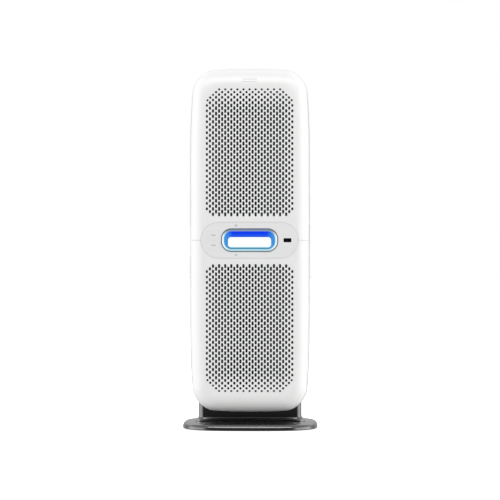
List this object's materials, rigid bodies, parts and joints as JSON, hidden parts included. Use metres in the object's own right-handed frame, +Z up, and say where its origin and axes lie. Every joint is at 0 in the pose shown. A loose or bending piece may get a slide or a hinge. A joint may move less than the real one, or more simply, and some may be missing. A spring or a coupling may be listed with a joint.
{
  "type": "tower air purifier",
  "caption": "Free-standing tower air purifier: perforated front covers above and below an oval control panel with a light window, on a pedestal neck and a weighted base.",
  "frame": {"origin": "on the floor under the middle of the base", "axes": "+Z up, -Y towards the front with the control panel, +X to the right as seen from the front"},
  "size_m": [0.315, 0.3, 0.837],
  "materials": {
    "cover_white": "satin",
    "housing_grey": "satin",
    "frame_plastic": "matte",
    "panel_grey": "satin",
    "dark_plastic": "matte",
    "base_black": "polished",
    "window_black": "polished",
    "trim_grey": "satin",
    "lens_blue": "lit from behind",
    "bar_white": "lit from behind",
    "filter_paper": "pleated",
    "carbon_bed": "granular",
    "mesh_grey": "woven",
    "foam": "cellular",
    "rubber_black": "matte",
    "steel": "zinc plated",
    "board_green": "satin",
    "cable_black": "matte"
  },
  "bodies": {
    "stand": {"base_plate": "base_black", "base_ballast": "steel", "foot_pad_1": "rubber_black", "foot_pad_2": "rubber_black", "foot_pad_3": "rubber_black", "foot_pad_4": "rubber_black", "base_screw_1": "steel", "base_screw_2": "steel", "base_screw_3": "steel", "base_screw_4": "steel", "pedestal_neck": "base_black", "rear_housing": "housing_grey", "top_outlet_grille": "frame_plastic", "rear_outlet_grille": "frame_plastic", "mains_inlet": "dark_plastic", "inner_frame": "frame_plastic", "dust_sensor": "dark_plastic", "upper_carbon_filter": "carbon_bed", "upper_hepa_filter": "filter_paper", "upper_filter_seal": "foam", "upper_bell_mouth": "dark_plastic", "upper_fan_casing": "frame_plastic", "upper_fan_motor": "steel", "lower_carbon_filter": "carbon_bed", "lower_hepa_filter": "filter_paper", "lower_filter_seal": "foam", "lower_bell_mouth": "dark_plastic", "lower_fan_casing": "frame_plastic", "lower_fan_motor": "steel", "left_strike_plate": "steel", "right_strike_plate": "steel", "control_panel": "panel_grey", "window_trim": "trim_grey", "light_lens": "lens_blue", "diffuser_bar": "bar_white", "receiver_window": "window_black", "upper_indicator": "frame_plastic", "lower_indicator": "frame_plastic", "power_key_switch": "dark_plastic", "speed_key_switch": "dark_plastic", "control_tray": "frame_plastic", "control_board": "board_green", "led_bar": "bar_white", "control_cable": "cable_black", "power_board": "board_green", "mains_wire": "cable_black"},
    "upper_cover": {"upper_front_cover": "cover_white", "upper_prefilter": "mesh_grey", "upper_left_magnet": "steel", "upper_right_magnet": "steel"},
    "lower_cover": {"lower_front_cover": "cover_white", "lower_prefilter": "mesh_grey", "lower_left_magnet": "steel", "lower_right_magnet": "steel"},
    "upper_fan": {"upper_impeller": "dark_plastic", "upper_motor_shaft": "steel"},
    "lower_fan": {"lower_impeller": "dark_plastic", "lower_motor_shaft": "steel"},
    "power_key_body": {"power_key": "panel_grey"},
    "speed_key_body": {"speed_key": "panel_grey"}
  },
  "joints": [
    {"name": "upper_cover_tilt", "type": "hinge", "parent": "stand", "child": "upper_cover", "pos_m": [0, -0.06, 0.837], "axis": [-1, 0, 0], "range_deg": [0, 30]},
    {"name": "lower_cover_tilt", "type": "hinge", "parent": "stand", "child": "lower_cover", "pos_m": [0, -0.06, 0.042], "axis": [1, 0, 0], "range_deg": [0, 20]},
    {"name": "upper_fan_spin", "type": "hinge", "parent": "stand", "child": "upper_fan", "pos_m": [0, 0, 0.6445], "axis": [0, 1, 0], "continuous": true},
    {"name": "lower_fan_spin", "type": "hinge", "parent": "stand", "child": "lower_fan", "pos_m": [0, 0, 0.2345], "axis": [0, 1, 0], "continuous": true},
    {"name": "power_key_press", "type": "slide", "parent": "stand", "child": "power_key_body", "axis": [0, 1, 0], "range_m": [0, 0.0008], "stiffness_N_per_m": 2000},
    {"name": "speed_key_press", "type": "slide", "parent": "stand", "child": "speed_key_body", "axis": [0, 1, 0], "range_m": [0, 0.0008], "stiffness_N_per_m": 2000}
  ]
}
